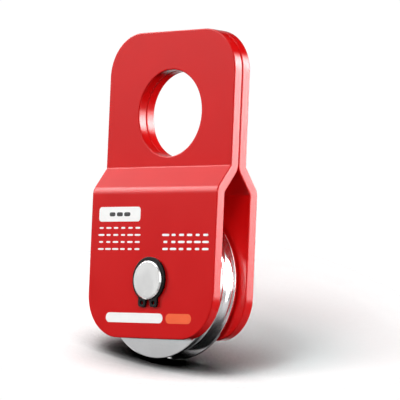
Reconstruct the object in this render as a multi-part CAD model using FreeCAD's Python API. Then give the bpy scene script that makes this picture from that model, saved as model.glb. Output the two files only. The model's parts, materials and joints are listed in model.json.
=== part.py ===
import FreeCAD, Part
import math
import os

Vector = FreeCAD.Vector

# Snatch block: two folded steel cheeks on one axle pin, with a grooved sheave between them.
# Millimetres. The origin is the centre of the shackle eye, halfway between the cheeks.
# +Z points up the block, away from the sheave; +Y points to the rear cheek; X runs across.

# Rope and sheave
rope_diameter = 10.0
rope_side_play = 0.3            # between the rope and the round of the groove
groove_depth = 8.0
groove_flank_angle = 12.0       # degrees, each flank from the sheave's middle plane
sheave_diameter = 72.5
sheave_width = 15.0
rim_corner_radius = 0.9         # between a sheave face and the rim
mouth_corner_radius = 0.45      # between the rim and a groove flank

# Axle, bush and washers
axle_diameter = 18.0
axle_head_diameter = 27.0
axle_head_thickness = 3.0
axle_head_corner_radius = 1.0
axle_end_past_groove = 1.0
axle_end_chamfer = 0.5
bush_wall = 2.0
bush_end_chamfer = 0.4
bush_running_clearance = 0.05   # radial, on the axle
cheek_running_clearance = 0.08  # radial, cheek hole on the axle
washer_diameter = 32.0
washer_thickness = 1.0
washer_clearance = 0.25         # radial, on the axle
end_play = 0.05                 # at each sliding face along the axle

# Retaining ring
ring_thickness = 1.2
ring_groove_depth = 0.5
ring_back_width = 2.4           # radial, opposite the lugs
ring_arm_width = 1.5            # radial, beside the lugs
ring_lug_reach = 4.0            # radial, from the groove floor
ring_lug_width = 4.7
ring_lug_gap = 2.8
ring_lug_corner_radius = 1.2
ring_hole_diameter = 2.0
ring_hole_wall = 0.9            # from a lug hole to the lug's tip
ring_seat_clearance = 0.02      # radial, on the groove floor
ring_edge_break = 0.15

# Cheeks
cheek_width = 82.0
cheek_thickness = 5.0
cheek_face_gap = 0.3            # between the two cheeks at the eye
cheek_top_corner_radius = 20.5
cheek_bottom_corner_radius = 20.5
cheek_edge_break = 0.5
bend_inside_radius = 1.0
joggle_height = 11.0            # between the two folds on the outer face
eye_diameter = 41.0
eye_wall_above = 18.5           # from the eye to the top edge
eye_wall_below = 5.0            # from the eye to the upper fold
throat_clearance = 4.75         # from the lower fold inside to the sheave's rim
sheave_reveal = 9.0             # how far the sheave stands out below the cheeks

# Radii
eye_radius = eye_diameter / 2
axle_radius = axle_diameter / 2
sheave_radius = sheave_diameter / 2
bush_radius = axle_radius + bush_running_clearance + bush_wall

# Depths along Y, from the middle plane
sheave_face = sheave_width / 2
washer_inner_face = sheave_face + end_play
cheek_inner_face = washer_inner_face + washer_thickness + end_play
cheek_outer_face = cheek_inner_face + cheek_thickness
eye_inner_face = cheek_face_gap / 2
eye_outer_face = eye_inner_face + cheek_thickness
ring_inner_face = cheek_outer_face + end_play
ring_groove_width = ring_thickness + 2 * end_play
axle_front_end = cheek_outer_face + ring_groove_width + axle_end_past_groove
head_inner_face = cheek_outer_face + end_play

# Heights along Z, from the eye
joggle_angle = math.atan2(cheek_inner_face - eye_inner_face, joggle_height)
fold_offset = cheek_thickness * math.tan(joggle_angle / 2)
cheek_top = eye_radius + eye_wall_above
upper_fold = -(eye_radius + eye_wall_below)
lower_fold = upper_fold - joggle_height
axle_height = lower_fold - fold_offset - throat_clearance - sheave_radius
cheek_bottom = axle_height - sheave_radius + sheave_reveal

AXLE = Vector(0, 0, axle_height)
ALONG = Vector(0, 1, 0)
SAME_POINT = 1e-6


def rounded_wire(corners):
    """Closed wire through (point, radius) corners, with a tangent arc at each radius above zero."""
    stretches = []
    for index, (here, radius) in enumerate(corners):
        before = corners[index - 1][0]
        after = corners[(index + 1) % len(corners)][0]
        if radius <= 0:
            stretches.append((here, None, here))
            continue
        backward = (before - here).normalize()
        forward = (after - here).normalize()
        half_angle = backward.getAngle(forward) / 2
        cut = radius / math.tan(half_angle)
        centre = here + (backward + forward).normalize() * (radius / math.sin(half_angle))
        middle = centre + (here - centre).normalize() * radius
        stretches.append((here + backward * cut, middle, here + forward * cut))
    edges = []
    for index, (start, middle, end) in enumerate(stretches):
        last_end = stretches[index - 1][2]
        if last_end.distanceToPoint(start) > SAME_POINT:
            edges.append(Part.LineSegment(last_end, start).toShape())
        if middle is not None:
            edges.append(Part.Arc(start, middle, end).toShape())
    return Part.Wire(edges)


def turned(section):
    """Solid of revolution about the axle, from (along the axle, radius, corner radius) points."""
    corners = [(Vector(0, along, axle_height + radius), corner) for along, radius, corner in section]
    return Part.Face(rounded_wire(corners)).revolve(AXLE, ALONG, 360)


def disc(centre, radius, start, end):
    """Round solid along Y, from one depth to another."""
    return Part.makeCylinder(radius, end - start, Vector(centre.x, start, centre.z), ALONG)


def sharp_edges(shape, least_angle=40.0):
    """Edges where two faces meet at a corner, leaving out the smooth joins of a fold."""
    found = []
    for edge in shape.Edges:
        faces = shape.ancestorsOfType(edge, Part.Face)
        if len(faces) != 2:
            continue
        middle = edge.valueAt((edge.FirstParameter + edge.LastParameter) / 2)
        first, second = [face.normalAt(*face.Surface.parameter(middle)) for face in faces]
        if math.degrees(first.getAngle(second)) > least_angle:
            found.append(edge)
    return found


def make_front_cheek():
    """Plate folded twice, so that it lies on its twin at the eye and stands off for the sheave."""
    fold_outside_radius = bend_inside_radius + cheek_thickness
    side_view = [
        (-eye_outer_face, cheek_top, 0),
        (-eye_outer_face, upper_fold, bend_inside_radius),
        (-cheek_outer_face, lower_fold, fold_outside_radius),
        (-cheek_outer_face, cheek_bottom, 0),
        (-cheek_inner_face, cheek_bottom, 0),
        (-cheek_inner_face, lower_fold - fold_offset, bend_inside_radius),
        (-eye_inner_face, upper_fold - fold_offset, fold_outside_radius),
        (-eye_inner_face, cheek_top, 0),
    ]
    left = -cheek_width / 2
    corners = [(Vector(left, along, height), radius) for along, height, radius in side_view]
    folded = Part.Face(rounded_wire(corners)).extrude(Vector(cheek_width, 0, 0))

    front = -cheek_outer_face
    outline = rounded_wire([
        (Vector(left, front, cheek_bottom), cheek_bottom_corner_radius),
        (Vector(-left, front, cheek_bottom), cheek_bottom_corner_radius),
        (Vector(-left, front, cheek_top), cheek_top_corner_radius),
        (Vector(left, front, cheek_top), cheek_top_corner_radius),
    ])
    blank = Part.Face(outline).extrude(Vector(0, cheek_outer_face, 0))
    cheek = folded.common(blank)

    eye = disc(Vector(0, 0, 0), eye_radius, -cheek_outer_face, 0)
    cheek = cheek.cut(eye)
    cheek = cheek.makeFillet(cheek_edge_break, sharp_edges(cheek))
    axle_hole = disc(AXLE, axle_radius + cheek_running_clearance, -cheek_outer_face, 0)
    return cheek.cut(axle_hole)


def make_rear_cheek():
    """The same pressing, turned round to face the front one."""
    cheek = make_front_cheek()
    cheek.rotate(Vector(0, 0, 0), Vector(0, 0, 1), 180)
    return cheek


def make_sheave():
    """Turned wheel with a round-bottomed rope groove, bored for its bush."""
    flank = math.radians(groove_flank_angle)
    groove_radius = rope_diameter / 2 + rope_side_play
    groove_floor = sheave_radius - groove_depth
    flank_apex = groove_floor + groove_radius - groove_radius / math.sin(flank)
    mouth = (sheave_radius - flank_apex) * math.tan(flank)
    return turned([
        (-sheave_face, bush_radius, 0),
        (-sheave_face, sheave_radius, rim_corner_radius),
        (-mouth, sheave_radius, mouth_corner_radius),
        (0, flank_apex, groove_radius),
        (mouth, sheave_radius, mouth_corner_radius),
        (sheave_face, sheave_radius, rim_corner_radius),
        (sheave_face, bush_radius, 0),
    ])


def make_sheave_bush():
    """Plain bush pressed into the sheave and flush with its faces."""
    bore = axle_radius + bush_running_clearance
    return turned([
        (-sheave_face, bore + bush_end_chamfer, 0),
        (-sheave_face, bush_radius, 0),
        (sheave_face, bush_radius, 0),
        (sheave_face, bore + bush_end_chamfer, 0),
        (sheave_face - bush_end_chamfer, bore, 0),
        (-sheave_face + bush_end_chamfer, bore, 0),
    ])


def make_axle_pin():
    """Headed pin: the head bears on the rear cheek, and the front end is grooved for the ring."""
    head_radius = axle_head_diameter / 2
    head_outer_face = head_inner_face + axle_head_thickness
    groove_floor = axle_radius - ring_groove_depth
    groove_front = cheek_outer_face + ring_groove_width
    return turned([
        (-axle_front_end, 0, 0),
        (-axle_front_end, axle_radius - axle_end_chamfer, 0),
        (-axle_front_end + axle_end_chamfer, axle_radius, 0),
        (-groove_front, axle_radius, 0),
        (-groove_front, groove_floor, 0),
        (-cheek_outer_face, groove_floor, 0),
        (-cheek_outer_face, axle_radius, 0),
        (head_inner_face, axle_radius, 0),
        (head_inner_face, head_radius, 0),
        (head_outer_face, head_radius, axle_head_corner_radius),
        (head_outer_face, 0, 0),
    ])


def make_retaining_ring():
    """Stamped outside ring, thinner towards its ends, with two lugs drilled for pliers."""
    groove_floor = axle_radius - ring_groove_depth
    back = groove_floor + ring_back_width
    arm = groove_floor + ring_arm_width
    rim_centre = Vector(0, 0, axle_height + (back - arm) / 2)
    front = -(ring_inner_face + ring_thickness)
    ring = disc(rim_centre, (back + arm) / 2, front, -ring_inner_face)

    tip = axle_height - groove_floor - ring_lug_reach
    inner_side = ring_lug_gap / 2
    outer_side = inner_side + ring_lug_width
    hole_height = tip + ring_hole_wall + ring_hole_diameter / 2
    holes = []
    for side in (-1, 1):
        lug = rounded_wire([
            (Vector(side * inner_side, front, axle_height), 0),
            (Vector(side * inner_side, front, tip), ring_lug_corner_radius),
            (Vector(side * outer_side, front, tip), ring_lug_corner_radius),
            (Vector(side * outer_side, front, axle_height), 0),
        ])
        ring = ring.fuse(Part.Face(lug).extrude(Vector(0, ring_thickness, 0)))
        middle = Vector(side * (inner_side + outer_side) / 2, 0, hole_height)
        holes.append(disc(middle, ring_hole_diameter / 2, front, -ring_inner_face))
    bore = disc(AXLE, groove_floor + ring_seat_clearance, front, -ring_inner_face)
    mouth = Part.makeBox(
        ring_lug_gap, ring_thickness, axle_height - tip,
        Vector(-inner_side, front, tip),
    )
    ring = ring.cut(bore).cut(mouth)
    for hole in holes:
        ring = ring.cut(hole)
    ring = ring.removeSplitter()
    return ring.makeChamfer(ring_edge_break, sharp_edges(ring))


def make_thrust_washer(side):
    """Flat washer between the sheave and one cheek."""
    bore = axle_radius + washer_clearance
    outer = washer_inner_face + washer_thickness
    return turned([
        (side * washer_inner_face, bore, 0),
        (side * washer_inner_face, washer_diameter / 2, 0),
        (side * outer, washer_diameter / 2, 0),
        (side * outer, bore, 0),
    ])


def main():
    nodes = {
        "front_cheek": make_front_cheek(),
        "rear_cheek": make_rear_cheek(),
        "sheave": make_sheave(),
        "sheave_bush": make_sheave_bush(),
        "axle_pin": make_axle_pin(),
        "retaining_ring": make_retaining_ring(),
        "front_thrust_washer": make_thrust_washer(-1),
        "rear_thrust_washer": make_thrust_washer(1),
    }
    os.makedirs("parts", exist_ok=True)
    for name, shape in nodes.items():
        solid = shape.Solids[0]
        if len(shape.Solids) != 1 or not solid.isValid() or solid.Volume <= 0:
            raise ValueError(f"{name} is not one sound solid")
        solid.exportStep(f"parts/{name}.step")
        box = solid.BoundBox
        height = f"Z {box.ZMin:.2f} to {box.ZMax:.2f}"
        depth = f"Y {box.YMin:.2f} to {box.YMax:.2f}"
        print(f"{name}: {solid.Volume:.0f} mm3, {height}, {depth}")
    print(f"axle at Z {axle_height:.2f}, folds at Z {upper_fold:.2f} and {lower_fold:.2f}")


main()
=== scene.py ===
import json
import math

import bmesh
import bpy
from mathutils import Matrix, Vector


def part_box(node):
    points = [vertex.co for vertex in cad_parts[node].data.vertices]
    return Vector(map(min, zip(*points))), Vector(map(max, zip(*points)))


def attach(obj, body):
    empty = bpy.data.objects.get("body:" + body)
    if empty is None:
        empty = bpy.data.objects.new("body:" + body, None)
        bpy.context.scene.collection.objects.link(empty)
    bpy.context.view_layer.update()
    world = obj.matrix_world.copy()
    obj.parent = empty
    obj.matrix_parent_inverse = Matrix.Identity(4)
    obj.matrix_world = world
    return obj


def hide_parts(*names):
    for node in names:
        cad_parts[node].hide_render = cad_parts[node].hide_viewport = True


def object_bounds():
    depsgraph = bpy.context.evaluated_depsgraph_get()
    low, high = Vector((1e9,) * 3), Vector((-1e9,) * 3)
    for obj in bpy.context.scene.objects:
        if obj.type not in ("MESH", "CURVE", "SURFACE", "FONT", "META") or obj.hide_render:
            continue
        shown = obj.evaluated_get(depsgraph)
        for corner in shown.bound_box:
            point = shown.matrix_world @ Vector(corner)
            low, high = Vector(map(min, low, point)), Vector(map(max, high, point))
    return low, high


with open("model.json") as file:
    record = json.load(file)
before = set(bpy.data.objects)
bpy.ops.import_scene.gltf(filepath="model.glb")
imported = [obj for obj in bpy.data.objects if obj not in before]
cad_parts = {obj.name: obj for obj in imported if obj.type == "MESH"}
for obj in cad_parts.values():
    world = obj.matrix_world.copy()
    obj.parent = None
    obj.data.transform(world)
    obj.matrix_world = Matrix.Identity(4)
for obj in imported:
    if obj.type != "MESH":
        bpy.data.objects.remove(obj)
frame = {"record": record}
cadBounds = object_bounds()

# Snatch block. The dictionaries of its pieces are in millimetres and degrees, those of the materials, the
# lamps and the floor in metres. Meshes are metres in the part's own frame: the origin is the middle of the
# shackle eye, +Z runs up the block and +Y points to the rear cheek.
mm = 0.001
weldDistance = 0.001 * mm        # mesh points closer than this become one
sharpAngle = 38.0                # an edge that turns by more than this stays a true corner
scene = bpy.context.scene

cheekLow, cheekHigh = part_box("rear_cheek")
wheelLow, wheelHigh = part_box("sheave")
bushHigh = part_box("sheave_bush")[1]
pinLow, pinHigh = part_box("axle_pin")
ringLow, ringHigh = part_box("retaining_ring")
eyeMount = next(m for m in frame["record"]["mounts"] if m["name"] == "shackle_eye")

axleHeight = (wheelLow.z + wheelHigh.z) / 2 / mm
sheaveRadius = (wheelHigh.x - wheelLow.x) / 2 / mm
bushRadius = bushHigh.x / mm
cheekFront = cheekHigh.y / mm        # outer face of either cheek, from the middle plane


# Node trees

def addNode(tree, kind, inputs=None, **settings):
    # a value that is a socket is linked, any other one is set on the input
    node = tree.nodes.new(kind)
    for name, value in settings.items():
        setattr(node, name, value)
    for key, value in (inputs or {}).items():
        if isinstance(value, bpy.types.NodeSocket):
            tree.links.new(value, node.inputs[key])
        else:
            node.inputs[key].default_value = value
    return node


def calc(tree, operation, *values):
    return addNode(tree, "ShaderNodeMath", dict(enumerate(values)), operation=operation).outputs[0]


def vectorCalc(tree, operation, *values):
    return addNode(tree, "ShaderNodeVectorMath", dict(enumerate(values)), operation=operation).outputs


def ramp(tree, value, fromLow, fromHigh, toLow=0.0, toHigh=1.0, interpolation="SMOOTHSTEP"):
    inputs = {"Value": value, "From Min": fromLow, "From Max": fromHigh, "To Min": toLow, "To Max": toHigh}
    return addNode(tree, "ShaderNodeMapRange", inputs, interpolation_type=interpolation).outputs["Result"]


def newTree(name, kind, inputs, outputs):
    # inputs are (name, socket type, default), outputs are (name, socket type)
    tree = bpy.data.node_groups.new(name, kind)
    for socketName, socketType, default in inputs:
        socket = tree.interface.new_socket(name=socketName, in_out="INPUT", socket_type=socketType)
        if default is not None:
            socket.default_value = default
    for socketName, socketType in outputs:
        tree.interface.new_socket(name=socketName, in_out="OUTPUT", socket_type=socketType)
    return tree, tree.nodes.new("NodeGroupInput").outputs, tree.nodes.new("NodeGroupOutput")


# Shader groups

def buildGrainGroup():
    # cloudy tone over centimetres and a fine skin over tenths of a millimetre, as on sprayed metal
    inputs = [("Cloud Size", "NodeSocketFloat", 0.02), ("Skin Size", "NodeSocketFloat", 0.0006)]
    outputs = [("Cloud", "NodeSocketFloat"), ("Skin", "NodeSocketFloat")]
    tree, given, result = newTree("surfaceGrain", "ShaderNodeTree", inputs, outputs)
    place = tree.nodes.new("ShaderNodeTexCoord").outputs["Object"]
    for name, detail in (("Cloud", 2.0), ("Skin", 3.0)):
        scale = calc(tree, "DIVIDE", 1.0, given[name + " Size"])
        noise = addNode(tree, "ShaderNodeTexNoise", {"Vector": place, "Scale": scale, "Detail": detail})
        tree.links.new(noise.outputs["Fac"], result.inputs[name])
    return tree


def buildTurningGroup():
    # fine rings about the axle, left by the lathe tool
    inputs = [("Axle Height", "NodeSocketFloat", 0.0), ("Ring Pitch", "NodeSocketFloat", 0.0003)]
    outputs = [("Rings", "NodeSocketFloat")]
    tree, given, result = newTree("turningRings", "ShaderNodeTree", inputs, outputs)
    place = tree.nodes.new("ShaderNodeTexCoord").outputs["Object"]
    split = addNode(tree, "ShaderNodeSeparateXYZ", {"Vector": place}).outputs
    up = calc(tree, "SUBTRACT", split["Z"], given["Axle Height"])
    squares = calc(tree, "ADD", calc(tree, "POWER", split["X"], 2.0), calc(tree, "POWER", up, 2.0))
    across = calc(tree, "DIVIDE", calc(tree, "SQRT", squares), given["Ring Pitch"])
    along = calc(tree, "DIVIDE", split["Y"], given["Ring Pitch"])
    profile = addNode(tree, "ShaderNodeCombineXYZ", {"X": across, "Y": along}).outputs[0]
    noise = addNode(tree, "ShaderNodeTexNoise", {"Vector": profile, "Scale": 1.0, "Detail": 2.0})
    tree.links.new(noise.outputs["Fac"], result.inputs["Rings"])
    return tree


grainGroup = buildGrainGroup()
turningGroup = buildTurningGroup()


# Materials

colorSockets = {"first": 6, "second": 7, "result": 2}        # of a Mix node that mixes colours
noiseRange = (0.3, 0.7)        # nearly all of a noise lies in here
hazeRange = (0.1, 0.45)        # and the product of two noises in here


def newMaterial(name):
    material = bpy.data.materials.new(name)
    material.use_nodes = True
    material.node_tree.nodes.clear()
    return material, material.node_tree


def finishMaterial(tree, shader):
    output = tree.nodes.new("ShaderNodeOutputMaterial")
    tree.links.new(shader.outputs[0], output.inputs["Surface"])


def addGrain(tree, cloudSize, skinSize=0.0006):
    sizes = {"Cloud Size": cloudSize, "Skin Size": skinSize}
    return addNode(tree, "ShaderNodeGroup", sizes, node_tree=grainGroup).outputs


def mixColors(tree, factor, first, second):
    # either colour is a socket or three numbers
    inputs = {"Factor": factor}
    for key, color in (("first", first), ("second", second)):
        isSocket = isinstance(color, bpy.types.NodeSocket)
        inputs[colorSockets[key]] = color if isSocket else (*color, 1.0)
    return addNode(tree, "ShaderNodeMix", inputs, data_type="RGBA").outputs[colorSockets["result"]]


def bump(tree, height, depth):
    inputs = {"Height": height, "Distance": depth, "Strength": 1.0}
    return addNode(tree, "ShaderNodeBump", inputs).outputs["Normal"]


def makeCoat(name, look):
    # paint, ink or dark surface treatment; tint and sheen name the grain that colour and roughness follow
    material, tree = newMaterial(name)
    grain = addGrain(tree, look["cloudSize"], look["skinSize"])
    shader = addNode(tree, "ShaderNodeBsdfPrincipled", {
        "Base Color": mixColors(tree, grain[look["tint"]], *look["colors"]),
        "Roughness": ramp(tree, grain[look["sheen"]], *noiseRange, *look["roughness"]),
        "Specular IOR Level": look["gloss"],
        "Normal": bump(tree, grain["Skin"], look["skinDepth"]),
    })
    finishMaterial(tree, shader)
    return material


def makeInk(name, *colors):
    # screen-printed ink, slightly uneven
    return makeCoat(name, {
        "colors": colors, "tint": "Cloud", "sheen": "Skin", "cloudSize": 0.004, "skinSize": 0.0002,
        "roughness": (0.38, 0.5), "gloss": 0.3, "skinDepth": 0.000004,
    })


def makeTurnedMetal(name, look):
    # bright metal with lathe rings and a faint cloudy haze
    material, tree = newMaterial(name)
    cloud = addGrain(tree, look["cloudSize"])["Cloud"]
    turning = {"Axle Height": axleHeight * mm, "Ring Pitch": look["ringPitch"]}
    rings = addNode(tree, "ShaderNodeGroup", turning, node_tree=turningGroup).outputs["Rings"]
    haze = calc(tree, "MULTIPLY", cloud, rings)
    shader = addNode(tree, "ShaderNodeBsdfPrincipled", {
        "Base Color": mixColors(tree, cloud, *look["colors"]),
        "Roughness": ramp(tree, haze, *hazeRange, *look["roughness"]),
        "Metallic": 1.0,
        "Normal": bump(tree, rings, look["ringDepth"]),
    })
    finishMaterial(tree, shader)
    return material


redCoat = makeCoat("redCoat", {
    "colors": ((0.585, 0.0040, 0.0046), (0.625, 0.0052, 0.0056)), "tint": "Cloud", "sheen": "Cloud",
    "cloudSize": 0.018, "skinSize": 0.0009, "roughness": (0.13, 0.19), "gloss": 0.18, "skinDepth": 0.000002,
})
blackPhosphate = makeCoat("blackPhosphate", {
    "colors": ((0.002, 0.002, 0.002), (0.006, 0.006, 0.006)), "tint": "Skin", "sheen": "Cloud",
    "cloudSize": 0.003, "skinSize": 0.00025, "roughness": (0.24, 0.36), "gloss": 0.15, "skinDepth": 0.00001,
})
whiteInk = makeInk("whiteInk", (0.86, 0.86, 0.85), (0.95, 0.95, 0.94))
orangeInk = makeInk("orangeInk", (0.80, 0.085, 0.012), (0.88, 0.115, 0.02))
darkInk = makeInk("darkInk", (0.008, 0.008, 0.009), (0.02, 0.02, 0.02))
chromePlate = makeTurnedMetal("chromePlate", {
    "colors": ((0.84, 0.84, 0.85), (0.93, 0.93, 0.94)), "cloudSize": 0.012,
    "roughness": (0.092, 0.102), "ringPitch": 0.0004, "ringDepth": 0.0000001,
})
pinSteel = makeTurnedMetal("pinSteel", {
    "colors": ((0.86, 0.86, 0.86), (0.95, 0.95, 0.94)), "cloudSize": 0.006,
    "roughness": (0.08, 0.16), "ringPitch": 0.00025, "ringDepth": 0.000002,
})
washerZinc = makeTurnedMetal("washerZinc", {
    "colors": ((0.55, 0.57, 0.60), (0.72, 0.73, 0.74)), "cloudSize": 0.003,
    "roughness": (0.22, 0.34), "ringPitch": 0.0005, "ringDepth": 0.000002,
})
bushBronze = makeTurnedMetal("bushBronze", {
    "colors": ((0.55, 0.33, 0.12), (0.70, 0.46, 0.20)), "cloudSize": 0.004,
    "roughness": (0.20, 0.32), "ringPitch": 0.0004, "ringDepth": 0.000002,
})
print("materials made")


# Outlines

def roundCorners(corners, stepAngle, guard=0.0, closed=True):
    # (x, y, radius) corners become points with tangent arcs; guard adds a point beyond each end of an arc
    points = []
    count = len(corners)
    for index, (x, y, radius) in enumerate(corners):
        here = Vector((x, y))
        atEnd = not closed and index in (0, count - 1)
        if radius <= 0 or atEnd:
            points.append(here)
            continue
        toLast = (Vector(corners[index - 1][:2]) - here).normalized()
        toNext = (Vector(corners[(index + 1) % count][:2]) - here).normalized()
        halfAngle = toLast.angle(toNext) / 2
        cut = radius / math.tan(halfAngle)
        centre = here + (toLast + toNext).normalized() * radius / math.sin(halfAngle)
        start = here + toLast * cut - centre
        turn = start.angle_signed(here + toNext * cut - centre)
        steps = max(2, math.ceil(abs(math.degrees(turn)) / stepAngle))
        if guard:
            points.append(here + toLast * (cut + guard))
        for step in range(steps + 1):
            points.append(centre + Matrix.Rotation(-turn * step / steps, 2) @ start)
        if guard:
            points.append(here + toNext * (cut + guard))
    return points


def circlePoints(centre, radius, steps):
    # clockwise, as the outline of a hole runs
    angles = [-2 * math.pi * step / steps for step in range(steps)]
    return [Vector((centre[0] + radius * math.cos(a), centre[1] + radius * math.sin(a))) for a in angles]


def arcPoints(centre, radius, start, end, step):
    count = math.ceil(abs(end - start) / step)
    angles = [math.radians(start + (end - start) * i / count) for i in range(count + 1)]
    return [Vector((centre[0] + radius * math.cos(a), centre[1] + radius * math.sin(a))) for a in angles]


def insetLoop(points, distance):
    # moves a closed loop to its left, which is into the material
    moved = []
    for index, here in enumerate(points):
        last, after = points[index - 1], points[(index + 1) % len(points)]
        before, ahead = (here - last).normalized(), (after - here).normalized()
        first, second = Vector((-before.y, before.x)), Vector((-ahead.y, ahead.x))
        moved.append(here + (first + second) * distance / (1 + first.dot(second)))
    return moved


def edgeLevels(thickness, radius, guard, steps):
    # (inset, depth) pairs from the front face, over the rounded edge and the wall, to the back face
    near = [(radius + guard, 0.0)]
    for step in range(steps + 1):
        angle = math.pi / 2 * step / steps
        near.append((radius * (1 - math.sin(angle)), radius * (1 - math.cos(angle))))
    near.append((0.0, radius + guard))
    return near + [(inset, thickness - depth) for inset, depth in reversed(near)]


# Meshes

def newPiece(name, mesh, material, body, replaced=None):
    piece = bpy.data.objects.new(name, mesh)
    scene.collection.objects.link(piece)
    mesh.materials.clear()
    mesh.materials.append(material)
    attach(piece, body)
    if replaced:
        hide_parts(replaced)


def finishMesh(bm, name):
    # merges doubles, points every face outwards and marks the true corners sharp
    bmesh.ops.remove_doubles(bm, verts=bm.verts, dist=weldDistance)
    bmesh.ops.recalc_face_normals(bm, faces=bm.faces)
    for face in bm.faces:
        face.smooth = True
    for edge in bm.edges:
        if len(edge.link_faces) != 2:
            raise ValueError(f"{name} is open at an edge")
        edge.smooth = edge.calc_face_angle() < math.radians(sharpAngle)
    mesh = bpy.data.meshes.new(name)
    bm.to_mesh(mesh)
    bm.free()
    return mesh


def fillBetween(bm, loops):
    # flat face between the first loop and the holes in it
    edges = []
    for loop in loops:
        for first, second in zip(loop, loop[1:] + loop[:1]):
            edges.append(bm.edges.get((first, second)) or bm.edges.new((first, second)))
    bmesh.ops.triangle_fill(bm, use_beauty=True, use_dissolve=False, edges=edges)


def buildPlate(name, outline, holes, levels, holeLevels, place, folds=0):
    # outline runs anticlockwise and holes clockwise; its first points up the right side are the folds' rows,
    # and place(x, up, depth) puts a flat point on the folded plate
    bm = bmesh.new()
    rings = []
    for loop, loopLevels in zip([outline] + holes, [levels] + holeLevels):
        ring = []
        for inset, depth in loopLevels:
            ring.append([bm.verts.new((p.x, p.y, depth)) for p in insetLoop(loop, inset)])
        for above, below in zip(ring, ring[1:]):
            for index in range(len(loop)):
                bm.faces.new((above[index - 1], above[index], below[index], below[index - 1]))
        rings.append(ring)
    for level in (0, -1):
        around = rings[0][level]
        inner = [ring[level] for ring in rings[1:]]
        if not folds:
            fillBetween(bm, [around] + inner)
            continue
        rightRows = around[:folds]
        leftStart = (len(around) - folds * 2) // 2 + folds
        leftRows = around[leftStart:leftStart + folds][::-1]
        for row in range(folds - 1):
            bm.faces.new((rightRows[row], rightRows[row + 1], leftRows[row + 1], leftRows[row]))
        fillBetween(bm, [around[folds - 1:leftStart + 1], inner[0]])
        fillBetween(bm, [around[leftStart + folds - 1:] + [around[0]], inner[1]])
    for vert in bm.verts:
        vert.co = place(*vert.co) * mm
    return finishMesh(bm, name)


# Cheeks

cheekPlan = {
    "thickness": 5.0, "cornerRadius": 20.5, "upperFold": -25.5, "lowerFold": -36.5, "bendInside": 1.0,
    "axleHole": 18.16, "edgeRound": 0.5, "edgeSteps": 4, "holeEdge": 0.12, "holeEdgeSteps": 2, "guard": 0.25,
    "bendStep": 5.0, "cornerStep": 3.5, "holeSteps": 128,
}


def foldedSection(plan):
    # rows down the outer face: length along the face, depth and height, and the way the face looks
    upper = cheekLow.y / mm + plan["thickness"]
    angle = math.atan2(cheekFront - upper, plan["upperFold"] - plan["lowerFold"])
    tight, wide = plan["bendInside"], plan["bendInside"] + plan["thickness"]
    firstCentre = Vector((upper + tight, plan["upperFold"] + tight * math.tan(angle / 2)))
    lastCentre = Vector((cheekFront - wide, plan["lowerFold"] - wide * math.tan(angle / 2)))
    steps = math.ceil(math.degrees(angle) / plan["bendStep"])
    turns = [angle * step / steps for step in range(steps + 1)]
    facing = [Vector((math.cos(a), math.sin(a))) for a in turns]
    downSlope = Vector((math.sin(angle), -math.cos(angle))) * plan["guard"]
    downFlat = Vector((0.0, -plan["guard"]))
    first = [(firstCentre - way * tight, way) for way in facing]
    last = [(lastCentre + way * wide, way) for way in reversed(facing)]
    spots = [(first[0][0] - downFlat, facing[0])] + first + [(first[-1][0] + downSlope, facing[-1])]
    spots += [(last[0][0] - downSlope, facing[-1])] + last + [(last[-1][0] + downFlat, facing[0])]
    rows = []
    length = -spots[0][0].y
    for index, (spot, way) in enumerate(spots):
        if index:
            length += (spot - spots[index - 1][0]).length
        rows.append((-length, spot, way))
    return rows


def onSection(rows, up, depth):
    # depth and height of a point of the flat plate, after folding
    slack = 0.0001        # a point that lies on a row belongs to it
    if up >= rows[0][0]:
        spot, way = rows[0][1] + Vector((0, up - rows[0][0])), rows[0][2]
    elif up <= rows[-1][0]:
        spot, way = rows[-1][1] + Vector((0, up - rows[-1][0])), rows[-1][2]
    else:
        index = next(i for i in range(1, len(rows)) if up >= rows[i][0] - slack)
        share = (rows[index - 1][0] - up) / (rows[index - 1][0] - rows[index][0])
        spot = rows[index - 1][1].lerp(rows[index][1], share)
        way = rows[index - 1][2].lerp(rows[index][2], share).normalized()
    return spot - way * depth


def buildCheek(name, side):
    plan = cheekPlan
    rows = foldedSection(plan)
    half, radius = cheekHigh.x / mm, plan["cornerRadius"]
    shift = rows[-1][0] - rows[-1][1].y        # the folded plate is longer than it is high
    top, bottom = cheekHigh.z / mm, cheekLow.z / mm + shift
    high, low = rows[0][0], rows[-1][0]
    right = [Vector((half, row[0])) for row in reversed(rows)]
    left = [Vector((-half, row[0])) for row in rows]
    upper = [(half, high, 0), (half, top, radius), (-half, top, radius), (-half, high, 0)]
    lower = [(-half, low, 0), (-half, bottom, radius), (half, bottom, radius), (half, low, 0)]
    upper, lower = (roundCorners(end, plan["cornerStep"], closed=False)[1:-1] for end in (upper, lower))
    eye = circlePoints((0, 0), eyeMount["dims"]["r_mm"], plan["holeSteps"])
    hole = circlePoints((0, axleHeight + shift), plan["axleHole"] / 2, plan["holeSteps"])
    levels = edgeLevels(plan["thickness"], plan["edgeRound"], plan["guard"], plan["edgeSteps"])
    holeLevels = edgeLevels(plan["thickness"], plan["holeEdge"], plan["guard"], plan["holeEdgeSteps"])

    def place(x, up, depth):
        y, z = onSection(rows, up, depth)
        return Vector((x, side * y, z))

    return buildPlate(name, right + upper + left + lower, [eye, hole], levels, [levels, holeLevels],
                      place, folds=len(rows))


for name, side, body, node in (
    ("cheek_front", -1, "front_side", "front_cheek"),
    ("cheek_rear", 1, "rear_side", "rear_cheek"),
):
    newPiece(name, buildCheek(name, side), redCoat, body, node)
print("cheeks folded")


# Turned pieces: sheave, bush, axle pin and washers

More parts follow.
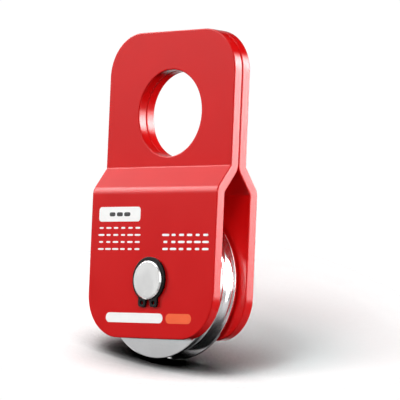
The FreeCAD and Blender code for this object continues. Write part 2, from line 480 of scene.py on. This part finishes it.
def buildTurningTree():
    # lays a grid over the profile's points and the steps round the axle, then bends it round
    inputs = [
        ("Profile", "NodeSocketGeometry", None), ("Steps", "NodeSocketInt", 96),
        ("Axle Height", "NodeSocketFloat", 0.0), ("Weld Distance", "NodeSocketFloat", 0.000002),
        ("Material", "NodeSocketMaterial", None),
    ]
    outputs = [("Geometry", "NodeSocketGeometry")]
    tree, given, result = newTree("turnedPiece", "GeometryNodeTree", inputs, outputs)
    size = addNode(tree, "GeometryNodeAttributeDomainSize", {"Geometry": given["Profile"]})
    pointCount = size.outputs["Point Count"]
    grid = addNode(tree, "GeometryNodeMeshGrid", {
        "Vertices X": calc(tree, "ADD", given["Steps"], 1.0), "Vertices Y": pointCount,
    })
    index = tree.nodes.new("GeometryNodeInputIndex").outputs[0]
    along = calc(tree, "MODULO", index, pointCount)
    # the half keeps a point from slipping to the step before
    step = calc(tree, "FLOOR", calc(tree, "DIVIDE", calc(tree, "ADD", index, 0.5), pointCount))
    angle = calc(tree, "MULTIPLY", calc(tree, "DIVIDE", step, given["Steps"]), 2 * math.pi)
    sample = addNode(tree, "GeometryNodeSampleIndex", {
        "Geometry": given["Profile"], "Value": tree.nodes.new("GeometryNodeInputPosition").outputs[0],
        "Index": along,
    }, data_type="FLOAT_VECTOR", domain="POINT")
    spot = addNode(tree, "ShaderNodeSeparateXYZ", {"Vector": sample.outputs[0]}).outputs
    rise = calc(tree, "MULTIPLY", spot["X"], calc(tree, "SINE", angle))
    bent = addNode(tree, "ShaderNodeCombineXYZ", {
        "X": calc(tree, "MULTIPLY", spot["X"], calc(tree, "COSINE", angle)),
        "Y": spot["Y"],
        "Z": calc(tree, "ADD", rise, given["Axle Height"]),
    })
    moved = addNode(tree, "GeometryNodeSetPosition", {
        "Geometry": grid.outputs["Mesh"], "Position": bent.outputs[0],
    })
    merged = addNode(tree, "GeometryNodeMergeByDistance", {
        "Geometry": moved.outputs[0], "Distance": given["Weld Distance"],
    })
    real = addNode(tree, "GeometryNodeRealizeInstances", {"Geometry": merged.outputs[0]})
    painted = addNode(tree, "GeometryNodeSetMaterial", {
        "Geometry": real.outputs[0], "Material": given["Material"],
    })
    tree.links.new(painted.outputs[0], result.inputs["Geometry"])
    return tree


def growMesh(name, tree, start, values):
    # runs a node tree on a start mesh and gives back a plain closed mesh
    carrier = bpy.data.objects.new(name + "Start", start)
    scene.collection.objects.link(carrier)
    modifier = carrier.modifiers.new("grow", "NODES")
    modifier.node_group = tree
    identifiers = {s.name: s.identifier for s in tree.interface.items_tree if s.in_out == "INPUT"}
    for key, value in values.items():
        modifier[identifiers[key]] = value
    graph = bpy.context.evaluated_depsgraph_get()
    grown = bpy.data.meshes.new_from_object(carrier.evaluated_get(graph))
    carrier.modifiers.clear()
    bpy.data.objects.remove(carrier)
    bm = bmesh.new()
    bm.from_mesh(grown)
    return finishMesh(bm, name)


def buildTurned(name, corners, material, closed=True, steps=192, arcStep=9.0, guard=0.12):
    # corners are (radius, along the axle, corner radius)
    points = roundCorners(corners, arcStep, guard, closed)
    if closed:
        points.append(points[0])
    places = [(p.x * mm, p.y * mm, 0) for p in points]
    profile = bpy.data.meshes.new(name + "Profile")
    profile.from_pydata(places, [(i, i + 1) for i in range(len(points) - 1)], [])
    values = {
        "Steps": steps, "Axle Height": axleHeight * mm,
        "Weld Distance": 2 * weldDistance, "Material": material,
    }
    return growMesh(name, turningTree, profile, values)


turningTree = buildTurningTree()

# apexRadius is where the two flanks of the groove would meet
sheavePlan = {
    "halfWidth": wheelHigh.y / mm, "mouthHalfWidth": 5.992, "apexRadius": 8.06, "grooveRound": 5.3,
    "rimRound": 0.4, "mouthRound": 0.2, "steps": 256, "arcStep": 6.0, "guard": 0.05,
}
sheaveCorners = [
    (bushRadius, -sheavePlan["halfWidth"], 0),
    (sheaveRadius, -sheavePlan["halfWidth"], sheavePlan["rimRound"]),
    (sheaveRadius, -sheavePlan["mouthHalfWidth"], sheavePlan["mouthRound"]),
    (sheavePlan["apexRadius"], 0, sheavePlan["grooveRound"]),
    (sheaveRadius, sheavePlan["mouthHalfWidth"], sheavePlan["mouthRound"]),
    (sheaveRadius, sheavePlan["halfWidth"], sheavePlan["rimRound"]),
    (bushRadius, sheavePlan["halfWidth"], 0),
]
sheaveMesh = buildTurned("sheave_grooved", sheaveCorners, chromePlate, steps=sheavePlan["steps"],
                         arcStep=sheavePlan["arcStep"], guard=sheavePlan["guard"])
newPiece("sheave_grooved", sheaveMesh, chromePlate, "wheel", "sheave")

bushPlan = {"bore": 9.05, "chamfer": 0.4, "halfLength": bushHigh.y / mm}
bushCorners = [
    (bushPlan["bore"] + bushPlan["chamfer"], -bushPlan["halfLength"], 0),
    (bushRadius, -bushPlan["halfLength"], 0),
    (bushRadius, bushPlan["halfLength"], 0),
    (bushPlan["bore"] + bushPlan["chamfer"], bushPlan["halfLength"], 0),
    (bushPlan["bore"], bushPlan["halfLength"] - bushPlan["chamfer"], 0),
    (bushPlan["bore"], -bushPlan["halfLength"] + bushPlan["chamfer"], 0),
]
bushMesh = buildTurned("bush_bronze", bushCorners, bushBronze)
newPiece("bush_bronze", bushMesh, bushBronze, "wheel", "sheave_bush")

pinPlan = {
    "front": pinLow.y / mm, "back": pinHigh.y / mm, "radius": 9.0, "headRadius": pinHigh.x / mm,
    "grooveFloor": 8.5, "grooveFront": -14.9, "grooveBack": -13.6, "headInner": 13.65,
    "endChamfer": 0.5, "headRound": 1.0, "edgeRound": 0.08, "guard": 0.05,
}
pinCorners = [
    (0, pinPlan["front"], 0),
    (pinPlan["radius"] - pinPlan["endChamfer"], pinPlan["front"], pinPlan["edgeRound"]),
    (pinPlan["radius"], pinPlan["front"] + pinPlan["endChamfer"], pinPlan["edgeRound"]),
    (pinPlan["radius"], pinPlan["grooveFront"], 0),
    (pinPlan["grooveFloor"], pinPlan["grooveFront"], 0),
    (pinPlan["grooveFloor"], pinPlan["grooveBack"], 0),
    (pinPlan["radius"], pinPlan["grooveBack"], 0),
    (pinPlan["radius"], pinPlan["headInner"], 0),
    (pinPlan["headRadius"], pinPlan["headInner"], pinPlan["edgeRound"]),
    (pinPlan["headRadius"], pinPlan["back"], pinPlan["headRound"]),
    (0, pinPlan["back"], 0),
]
pinMesh = buildTurned("pin_headed", pinCorners, pinSteel, closed=False, guard=pinPlan["guard"])
newPiece("pin_headed", pinMesh, pinSteel, "rear_side", "axle_pin")

washerPlan = {"bore": 9.25, "radius": 16.0, "edgeRound": 0.12}
for name, node in (("washer_front", "front_thrust_washer"), ("washer_rear", "rear_thrust_washer")):
    low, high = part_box(node)
    washerCorners = [
        (washerPlan["bore"], low.y / mm, washerPlan["edgeRound"]),
        (washerPlan["radius"], low.y / mm, washerPlan["edgeRound"]),
        (washerPlan["radius"], high.y / mm, washerPlan["edgeRound"]),
        (washerPlan["bore"], high.y / mm, washerPlan["edgeRound"]),
    ]
    washerMesh = buildTurned(name, washerCorners, washerZinc)
    newPiece(name, washerMesh, washerZinc, "rear_side", node)
print("turned pieces made")


# Retaining ring

ringPlan = {
    "boreRadius": 8.52, "rimRadius": 10.45, "rimRise": 0.45, "arcStep": 4.0,
    "lugInner": 1.4, "lugOuter": 6.1, "lugTip": 12.5, "lugRound": 1.2, "lugStep": 15.0,
    "holeRadius": 1.0, "holeRise": 1.9, "holeSteps": 32,
    "edgeRound": 0.15, "edgeSteps": 3, "guard": 0.05,
}


def ringOutline(plan):
    # anticlockwise, about the axle: right lug, round the rim, left lug and back round the bore
    rimAngle = math.degrees(math.acos(plan["lugOuter"] / plan["rimRadius"]))
    boreAngle = math.degrees(math.acos(plan["lugInner"] / plan["boreRadius"]))
    rim = arcPoints((0, plan["rimRise"]), plan["rimRadius"], -rimAngle, 180 + rimAngle, plan["arcStep"])
    bore = arcPoints((0, 0), plan["boreRadius"], 180 + boreAngle, -boreAngle, plan["arcStep"])
    tip, inner, outer, turn = -plan["lugTip"], plan["lugInner"], plan["lugOuter"], plan["lugRound"]
    lug = [(inner, 0, 0), (inner, tip, turn), (outer, tip, turn), (outer, 0, 0)]
    rightLug = roundCorners(lug, plan["lugStep"], closed=False)[1:-1]
    leftLug = [Vector((-p.x, p.y)) for p in reversed(rightLug)]
    return rightLug + rim + leftLug + bore


def buildRing(name, plan):
    thickness = (ringHigh.y - ringLow.y) / mm
    middle = (plan["lugInner"] + plan["lugOuter"]) / 2
    rise = plan["holeRise"] - plan["lugTip"]
    holes = [circlePoints((side * middle, rise), plan["holeRadius"], plan["holeSteps"]) for side in (1, -1)]
    levels = edgeLevels(thickness, plan["edgeRound"], plan["guard"], plan["edgeSteps"])

    def place(x, up, depth):
        return Vector((x, ringLow.y / mm + depth, axleHeight + up))

    return buildPlate(name, ringOutline(plan), holes, levels, [levels, levels], place)


ringMesh = buildRing("snap_ring", ringPlan)
newPiece("snap_ring", ringMesh, blackPhosphate, "rear_side", "retaining_ring")
print("retaining ring made")


# Print on the front cheek: plain fields and rows of dashes

inkPlan = {"thickness": 0.05, "edge": 0.02, "cornerStep": 10.0, "dashCorner": 0.28, "dashCornerSteps": 4}
chanceSockets = {"low": 2, "high": 3, "result": 1}        # of a Random Value node that gives a plain number


def buildDashTree():
    # rounded dashes on a grid, each of its own length, facing the front; a corner is a share of its dash
    inputs = [
        ("Geometry", "NodeSocketGeometry", None),
        ("Columns", "NodeSocketInt", 10), ("Rows", "NodeSocketInt", 4),
        ("Column Pitch", "NodeSocketFloat", 0.003), ("Row Pitch", "NodeSocketFloat", 0.003),
        ("Shortest", "NodeSocketFloat", 0.001), ("Longest", "NodeSocketFloat", 0.002),
        ("Dash Height", "NodeSocketFloat", 0.001), ("Thickness", "NodeSocketFloat", 0.00005),
        ("Corner", "NodeSocketFloat", 0.25), ("Corner Steps", "NodeSocketInt", 4),
        ("Centre", "NodeSocketVector", None), ("Seed", "NodeSocketInt", 1),
        ("Weld Distance", "NodeSocketFloat", 0.000001), ("Material", "NodeSocketMaterial", None),
    ]
    outputs = [("Geometry", "NodeSocketGeometry")]
    tree, given, result = newTree("printedDashes", "GeometryNodeTree", inputs, outputs)
    columnGaps = calc(tree, "SUBTRACT", given["Columns"], 1.0)
    rowGaps = calc(tree, "SUBTRACT", given["Rows"], 1.0)
    grid = addNode(tree, "GeometryNodeMeshGrid", {
        "Size X": calc(tree, "MULTIPLY", given["Column Pitch"], columnGaps),
        "Size Y": calc(tree, "MULTIPLY", given["Row Pitch"], rowGaps),
        "Vertices X": given["Columns"], "Vertices Y": given["Rows"],
    })

    # one dash of 1 by 1, which its places on the grid stretch
    outline = addNode(tree, "GeometryNodeCurvePrimitiveQuadrilateral", {"Width": 1.0, "Height": 1.0})
    rounded = addNode(tree, "GeometryNodeFilletCurve", {
        "Curve": outline.outputs[0], "Count": given["Corner Steps"], "Radius": given["Corner"],
    }, mode="POLY")
    face = addNode(tree, "GeometryNodeFillCurve", {"Curve": rounded.outputs[0]}, mode="NGONS")
    upwards = addNode(tree, "ShaderNodeCombineXYZ", {"Z": given["Thickness"]}).outputs[0]
    raised = addNode(tree, "GeometryNodeExtrudeMesh", {
        "Mesh": face.outputs[0], "Offset": upwards, "Offset Scale": 1.0,
    }, mode="FACES")
    under = addNode(tree, "GeometryNodeFlipFaces", {"Mesh": face.outputs[0]})
    joined = tree.nodes.new("GeometryNodeJoinGeometry")
    tree.links.new(raised.outputs["Mesh"], joined.inputs[0])
    tree.links.new(under.outputs[0], joined.inputs[0])
    dash = addNode(tree, "GeometryNodeMergeByDistance", {
        "Geometry": joined.outputs[0], "Distance": given["Weld Distance"],
    })

    chance = addNode(tree, "FunctionNodeRandomValue", {
        chanceSockets["low"]: given["Shortest"], chanceSockets["high"]: given["Longest"],
        "Seed": given["Seed"],
    }, data_type="FLOAT")
    size = addNode(tree, "ShaderNodeCombineXYZ", {
        "X": chance.outputs[chanceSockets["result"]], "Y": given["Dash Height"], "Z": 1.0,
    })
    placed = addNode(tree, "GeometryNodeInstanceOnPoints", {
        "Points": grid.outputs["Mesh"], "Instance": dash.outputs[0], "Scale": size.outputs[0],
    })
    real = addNode(tree, "GeometryNodeRealizeInstances", {"Geometry": placed.outputs[0]})
    stood = addNode(tree, "GeometryNodeTransform", {
        "Geometry": real.outputs[0], "Translation": given["Centre"], "Rotation": (math.pi / 2, 0.0, 0.0),
    })
    painted = addNode(tree, "GeometryNodeSetMaterial", {
        "Geometry": stood.outputs[0], "Material": given["Material"],
    })
    tree.links.new(painted.outputs[0], result.inputs["Geometry"])
    return tree


dashTree = buildDashTree()
dashBlocks = {
    "print_dashes_left": {
        "x": -21.6, "z": -59.65, "columns": 6, "rows": 4, "columnPitch": 4.85, "rowPitch": 3.33,
        "shortest": 2.3, "longest": 4.3, "height": 0.85, "seed": 4, "material": whiteInk, "lift": 0.0,
    },
    "print_dashes_right": {
        "x": 21.9, "z": -61.3, "columns": 6, "rows": 3, "columnPitch": 5.15, "rowPitch": 3.26,
        "shortest": 2.4, "longest": 4.6, "height": 1.05, "seed": 9, "material": whiteInk, "lift": 0.0,
    },
    "print_field_dashes": {
        "x": -21.8, "z": -48.2, "columns": 3, "rows": 1, "columnPitch": 4.95, "rowPitch": 1.0,
        "shortest": 3.6, "longest": 4.2, "height": 1.9, "seed": 2, "material": darkInk,
        "lift": inkPlan["thickness"],
    },
}
for name, block in dashBlocks.items():
    values = {
        "Columns": block["columns"], "Rows": block["rows"],
        "Column Pitch": block["columnPitch"] * mm, "Row Pitch": block["rowPitch"] * mm,
        "Shortest": block["shortest"] * mm, "Longest": block["longest"] * mm,
        "Dash Height": block["height"] * mm, "Thickness": inkPlan["thickness"] * mm,
        "Corner": inkPlan["dashCorner"], "Corner Steps": inkPlan["dashCornerSteps"],
        "Centre": (block["x"] * mm, -(cheekFront + block["lift"]) * mm, block["z"] * mm),
        "Seed": block["seed"], "Weld Distance": weldDistance, "Material": block["material"],
    }
    seedMesh = bpy.data.meshes.new(name + "Seed")
    newPiece(name, growMesh(name, dashTree, seedMesh, values), block["material"], "front_side")

# plain rounded fields: left, right, bottom and top edges, and the corner radius
printFields = {
    "print_field": {"box": (-35.7, -8.1, -51.65, -44.7), "round": 1.6, "material": whiteInk},
    "print_bar_white": {"box": (-28.3, 9.2, -99.2, -94.6), "round": 2.25, "material": whiteInk},
    "print_bar_orange": {"box": (11.2, 27.6, -99.2, -94.6), "round": 2.25, "material": orangeInk},
}


def buildField(name, plan):
    left, right, bottom, top = plan["box"]
    turn = plan["round"]
    corners = [(left, bottom, turn), (right, bottom, turn), (right, top, turn), (left, top, turn)]
    outline = roundCorners(corners, inkPlan["cornerStep"])
    levels = [(inkPlan["edge"], 0.0), (0.0, inkPlan["edge"]), (0.0, inkPlan["thickness"])]

    def place(x, up, depth):
        return Vector((x, -cheekFront - inkPlan["thickness"] + depth, up))

    return buildPlate(name, outline, [], levels, [], place)


for name, plan in printFields.items():
    newPiece(name, buildField(name, plan), plan["material"], "front_side")
print("print made")


# Camera at the photograph's viewing angle

cameraPlan = {
    "azimuth": 43.807, "elevation": -3.308, "roll": 2.385, "target": (17.122, 0.0, -40.858),
    "distance": 1328.873, "lens": 256.19, "sensor": 36.0, "clipStart": 100.0, "clipEnd": 20000.0,
}


def wayTo(azimuth, elevation):
    # from the block towards these angles in degrees: azimuth 0 is the front, 90 the right
    around, rise = math.radians(azimuth), math.radians(elevation)
    return Vector((math.sin(around) * math.cos(rise), -math.cos(around) * math.cos(rise), math.sin(rise)))


def addCamera(plan):
    around, roll = math.radians(plan["azimuth"]), math.radians(plan["roll"])
    back = wayTo(plan["azimuth"], plan["elevation"])
    right = Vector((math.cos(around), math.sin(around), 0))
    up = back.cross(right)
    turnedRight = right * math.cos(roll) + up * math.sin(roll)
    turnedUp = up * math.cos(roll) - right * math.sin(roll)
    data = bpy.data.cameras.new("camera")
    data.sensor_width = plan["sensor"]
    data.lens = plan["lens"]
    data.clip_start = plan["clipStart"] * mm
    data.clip_end = plan["clipEnd"] * mm
    camera = bpy.data.objects.new("camera", data)
    spot = (Vector(plan["target"]) + back * plan["distance"]) * mm
    turned = Matrix((turnedRight, turnedUp, back)).transposed().to_4x4()
    camera.matrix_world = Matrix.Translation(spot) @ turned
    scene.collection.objects.link(camera)
    scene.camera = camera


addCamera(cameraPlan)


# Studio: soft panels that only the gloss sees, and soft lamps for the light itself

def buildPanelGroup():
    # brightness of one soft panel, by direction: azimuth 0 is the front, 90 the right; all angles in degrees
    names = (
        "Azimuth", "Half Width", "Side Fade",
        "Low Start", "Low Full", "High Full", "High End", "Brightness",
    )
    inputs = [(name, "NodeSocketFloat", 0.0) for name in names]
    tree, given, result = newTree("softPanel", "ShaderNodeTree", inputs, [("Light", "NodeSocketFloat")])
    way = tree.nodes.new("ShaderNodeTexCoord").outputs["Generated"]
    split = addNode(tree, "ShaderNodeSeparateXYZ", {"Vector": way}).outputs
    level = calc(tree, "DEGREES", calc(tree, "ARCSINE", split["Z"]))
    forward = calc(tree, "MULTIPLY", split["Y"], -1.0)
    heading = calc(tree, "DEGREES", calc(tree, "ARCTAN2", split["X"], forward))
    turned = calc(tree, "SUBTRACT", heading, given["Azimuth"])
    aside = calc(tree, "ABSOLUTE", calc(tree, "WRAP", turned, 180.0, -180.0))
    sideEnd = calc(tree, "ADD", given["Half Width"], given["Side Fade"])
    sideways = ramp(tree, aside, sideEnd, given["Half Width"])
    rise = ramp(tree, level, given["Low Start"], given["Low Full"])
    fall = ramp(tree, level, given["High End"], given["High Full"])
    lower = calc(tree, "MULTIPLY", sideways, rise)
    upper = calc(tree, "MULTIPLY", fall, given["Brightness"])
    tree.links.new(calc(tree, "MULTIPLY", lower, upper), result.inputs["Light"])
    return tree


# azimuth, half width, side fade, low start, low full, high full, high end, brightness
glossPanels = {
    "frontLeft": (-50, 16, 24, -1, 36, 36, 44.5, 12.4),
    "frontStep": (-45, 30, 20, 3, 6, 30, 45, 0.55),
    "frontLow": (-45, 30, 20, -6, 2, 6, 14, 0.53),
    "left": (-100, 20, 30, 5, 30, 50, 70, 2.2),
    "backRight": (137, 10, 14, -9, 18, 22, 38, 36.0),
    "right": (80, 28, 22, -12, 0, 30, 50, 2.6),
    "backLow": (-135, 32, 8, -34, -24, -3, 2, 0.8),
    "grooveGlow": (108, 8, 8, -34, -22, 44, 60, 3.0),
    "rearLow": (150, 60, 15, -22, -14, -4, 2, 0.5),
    "frontBelow": (20, 75, 25, -50, -35, -12, -5, 0.45),
    "overhead": (0, 180, 1, 52, 75, 90, 100, 2.5),
    "frontAbove": (0, 70, 22, 26, 44, 56, 74, 0.35),
    "rear": (172, 8, 10, -5, 5, 20, 32, 2.0),
}
backdropWhite = 1.02
plainWhite = (1.0, 1.0, 1.0, 1.0)


def addWorld():
    # the camera sees a white backdrop, mirrored rays the panels, and the light itself comes from the lamps
    world = bpy.data.worlds.new("studio")
    scene.world = world
    world.use_nodes = True
    tree = world.node_tree
    tree.nodes.clear()
    panelGroup = buildPanelGroup()
    total = 0.0
    for values in glossPanels.values():
        panel = addNode(tree, "ShaderNodeGroup", node_tree=panelGroup)
        for socket, value in zip(panel.inputs, values):
            socket.default_value = value
        total = calc(tree, "ADD", total, panel.outputs["Light"])
    gloss = addNode(tree, "ShaderNodeBackground", {"Color": plainWhite, "Strength": total})
    paper = addNode(tree, "ShaderNodeBackground", {"Color": plainWhite, "Strength": backdropWhite})
    seen = tree.nodes.new("ShaderNodeLightPath").outputs["Is Camera Ray"]
    mix = addNode(tree, "ShaderNodeMixShader", {0: seen, 1: gloss.outputs[0], 2: paper.outputs[0]})
    output = tree.nodes.new("ShaderNodeOutputWorld")
    tree.links.new(mix.outputs[0], output.inputs["Surface"])
    world.cycles_visibility.diffuse = False


# lamps aren't mirrored; level is how bright one makes a white surface that faces it, and each lights the
# block or the paper
softLamps = {
    "frontLeft": {"azimuth": -60, "elevation": 18, "size": 1.1, "level": 1.09, "lights": "block"},
    "frontHigh": {"azimuth": 30, "elevation": 42, "size": 1.1, "level": 0.58, "lights": "block"},
    "frontRight": {"azimuth": 60, "elevation": 12, "size": 1.1, "level": 0.23, "lights": "block"},
    "rightLow": {"azimuth": 100, "elevation": -2, "size": 1.1, "level": 0.36, "lights": "block"},
    "right": {"azimuth": 127, "elevation": 4, "size": 1.1, "level": 0.55, "lights": "block"},
    "rear": {"azimuth": -155, "elevation": 35, "size": 1.1, "level": 0.4, "lights": "block"},
    "paperTop": {"azimuth": 0, "elevation": 86, "size": 1.4, "level": 0.44, "lights": "paper"},
    "paperHigh": {"azimuth": 0, "elevation": 55, "size": 1.1, "level": 0.54, "lights": "paper"},
    "paperRight": {"azimuth": 20, "elevation": 40, "size": 1.1, "level": 0.28, "lights": "paper"},
    "paperLeft": {"azimuth": -20, "elevation": 25, "size": 1.1, "level": 0.12, "lights": "paper"},
}
lampDistance = 2.5


def addLamps(paper):
    # a lamp lights what its collection takes in: the paper alone, or all but the paper
    reach = {name: bpy.data.collections.new(name + "Light") for name in ("block", "paper")}
    for name, state in (("block", "EXCLUDE"), ("paper", "INCLUDE")):
        reach[name].objects.link(paper)
        reach[name].collection_objects[0].light_linking.link_state = state
    middle = Vector((0, 0, (cheekLow.z + cheekHigh.z) / 2))
    for name, plan in softLamps.items():
        way = wayTo(plan["azimuth"], plan["elevation"])
        data = bpy.data.lights.new(name, "AREA")
        data.shape = "DISK"
        data.size = plan["size"]
        data.energy = plan["level"] * math.pi * math.pi * lampDistance ** 2
        lamp = bpy.data.objects.new(name, data)
        lamp.location = middle + way * lampDistance
        lamp.rotation_euler = way.to_track_quat("Z", "Y").to_euler()
        lamp.visible_glossy = False
        lamp.visible_camera = False
        lamp.light_linking.receiver_collection = reach[plan["lights"]]
        scene.collection.objects.link(lamp)


# Floor: a pale sheet of paper that curves up steeply behind the block and gently to its sides. Its own +X is
# the camera's right and its +Y leads away from the camera

floorPlan = {
    "gap": 0.002, "curveBehind": 1.5, "curveAside": 0.12, "towardCamera": 0.083, "radius": 0.62,
    "rings": 48, "steps": 96,
    "fibreScale": 400.0, "fibreDetail": 2.0, "fibreColors": ((0.96, 0.96, 0.96), (1.0, 1.0, 1.0)),
    "fadeMiddle": (0.02, 0.12, 0.0), "fadeShape": (1.6, 1.74, 0.0), "fadeStart": 0.148, "fadeEnd": 0.2,
    # contact values and mirrorLoss shape the painted contact shadow and its darker reflection, glow values
    # the glowing strip
    "contactReach": 0.07, "contactSamples": 8, "contactDark": 0.43, "contactClear": 0.84,
    "mirrorLoss": 0.35, "mirrorMiddle": 0.0175, "mirrorAside": 0.62,
    "mirrorStart": 0.107, "mirrorEnd": 0.109, "glowStart": 0.089, "glowEnd": 0.091,
    "castMiddle": (0.04, 0.11, 0.0), "castFade": 0.015, "castEnd": 0.07, "castColor": (0.86, 0.975, 0.975),
    "hangReach": 0.3, "hangSamples": 16, "hangNone": 0.995, "hangClear": 0.955,
}


def addFloor(plan):
    bm = bmesh.new()
    rings = []
    for ring in range(1, plan["rings"] + 1):
        out = plan["radius"] * ring / plan["rings"]
        loop = []
        for step in range(plan["steps"]):
            angle = 2 * math.pi * step / plan["steps"]
            aside, behind = out * math.cos(angle), out * math.sin(angle)
            rise = plan["curveAside"] * aside ** 2 + plan["curveBehind"] * behind ** 2
            loop.append(bm.verts.new((aside, behind, rise)))
        rings.append(loop)
    middle = bm.verts.new((0, 0, 0))
    for index in range(plan["steps"]):
        bm.faces.new((middle, rings[0][index - 1], rings[0][index]))
        for inner, outer in zip(rings, rings[1:]):
            bm.faces.new((inner[index - 1], outer[index - 1], outer[index], inner[index]))
    for face in bm.faces:
        face.smooth = True
    mesh = bpy.data.meshes.new("floor")
    bm.to_mesh(mesh)
    bm.free()
    floor = bpy.data.objects.new("floor", mesh)
    low = cadBounds[0].z - plan["gap"] - plan["curveBehind"] * plan["towardCamera"] ** 2
    floor.location = wayTo(cameraPlan["azimuth"], 0) * plan["towardCamera"] + Vector((0, 0, low))
    floor.rotation_euler.z = math.radians(cameraPlan["azimuth"])
    scene.collection.objects.link(floor)
    mesh.materials.append(makeFloorPaper(plan))
    for ray in ("diffuse", "transmission", "shadow", "volume_scatter"):
        setattr(floor, "visible_" + ray, False)
    return floor


def makeFloorPaper(plan):
    material, tree = newMaterial("floorPaper")
    place = tree.nodes.new("ShaderNodeTexCoord").outputs["Object"]
    split = addNode(tree, "ShaderNodeSeparateXYZ", {"Vector": place}).outputs
    mirrored = tree.nodes.new("ShaderNodeLightPath").outputs["Is Glossy Ray"]

    # pale fibres, the paper's own tone, with a painted cool tint behind the block that cancels the red light
    # the block bounces there
    fibre = addNode(tree, "ShaderNodeTexNoise", {
        "Vector": place, "Scale": plan["fibreScale"], "Detail": plan["fibreDetail"],
    })
    fibreColor = mixColors(tree, fibre.outputs["Fac"], *plan["fibreColors"])
    ground = vectorCalc(tree, "MULTIPLY", place, (1, 1, 0))[0]
    fromCast = vectorCalc(tree, "DISTANCE", ground, plan["castMiddle"])["Value"]
    cast = ramp(tree, fromCast, plan["castEnd"], plan["castFade"])
    paperColor = mixColors(tree, cast, fibreColor, plan["castColor"])

    # painted contact shadow: an ambient occlusion node darkens the paper towards black close to the block,
    # and more so in a mirrored ray, which also sees the paper dimmed as a painted darker reflection
    near = addNode(tree, "ShaderNodeAmbientOcclusion", {"Distance": plan["contactReach"]},
                   samples=plan["contactSamples"]).outputs["AO"]
    spread = ramp(tree, near, plan["contactDark"], plan["contactClear"], interpolation="LINEAR")
    paintedContactShade = calc(tree, "POWER", spread, calc(tree, "ADD", mirrored, 1.0))
    dimming = calc(tree, "SUBTRACT", 1.0, calc(tree, "MULTIPLY", mirrored, plan["mirrorLoss"]))
    shadedSheetColor = mixColors(tree, calc(tree, "MULTIPLY", paintedContactShade, dimming), (0.0, 0.0, 0.0), paperColor)

    # painted reflection: in a mirrored ray the paper behind the wheel is a glowing white emission strip, no
    # lamp, so the wheel's rims mirror a bright band
    paper = addNode(tree, "ShaderNodeBsdfDiffuse", {"Color": shadedSheetColor})
    white = addNode(tree, "ShaderNodeEmission", {"Strength": backdropWhite})
    glow = calc(tree, "MULTIPLY", mirrored, ramp(tree, split["Y"], plan["glowStart"], plan["glowEnd"]))
    shown = addNode(tree, "ShaderNodeMixShader", {0: glow, 1: paper.outputs[0], 2: white.outputs[0]})

    # clear on the underside, towards the rim, past the mirrored strip, and where a cheek hangs below it
    under = tree.nodes.new("ShaderNodeNewGeometry").outputs["Backfacing"]
    away = vectorCalc(tree, "SUBTRACT", place, plan["fadeMiddle"])[0]
    out = vectorCalc(tree, "LENGTH", vectorCalc(tree, "MULTIPLY", away, plan["fadeShape"])[0])["Value"]
    fade = ramp(tree, out, plan["fadeStart"], plan["fadeEnd"])
    behind = calc(tree, "ABSOLUTE", calc(tree, "SUBTRACT", split["Y"], plan["mirrorMiddle"]))
    aside = calc(tree, "MULTIPLY", calc(tree, "ABSOLUTE", split["X"]), plan["mirrorAside"])
    past = ramp(tree, calc(tree, "MAXIMUM", behind, aside), plan["mirrorStart"], plan["mirrorEnd"])
    lost = calc(tree, "MULTIPLY", mirrored, past)
    below = addNode(tree, "ShaderNodeAmbientOcclusion", {"Distance": plan["hangReach"]},
                    samples=plan["hangSamples"], inside=True).outputs["AO"]
    hanging = ramp(tree, below, plan["hangNone"], plan["hangClear"])
    hidden = calc(tree, "MAXIMUM", calc(tree, "MAXIMUM", under, lost), calc(tree, "MAXIMUM", fade, hanging))
    clear = tree.nodes.new("ShaderNodeBsdfTransparent")
    both = addNode(tree, "ShaderNodeMixShader", {0: hidden, 1: shown.outputs[0], 2: clear.outputs[0]})
    finishMaterial(tree, both)
    return material


addWorld()
addLamps(addFloor(floorPlan))
scene.view_settings.view_transform = "Standard"
print("studio made")
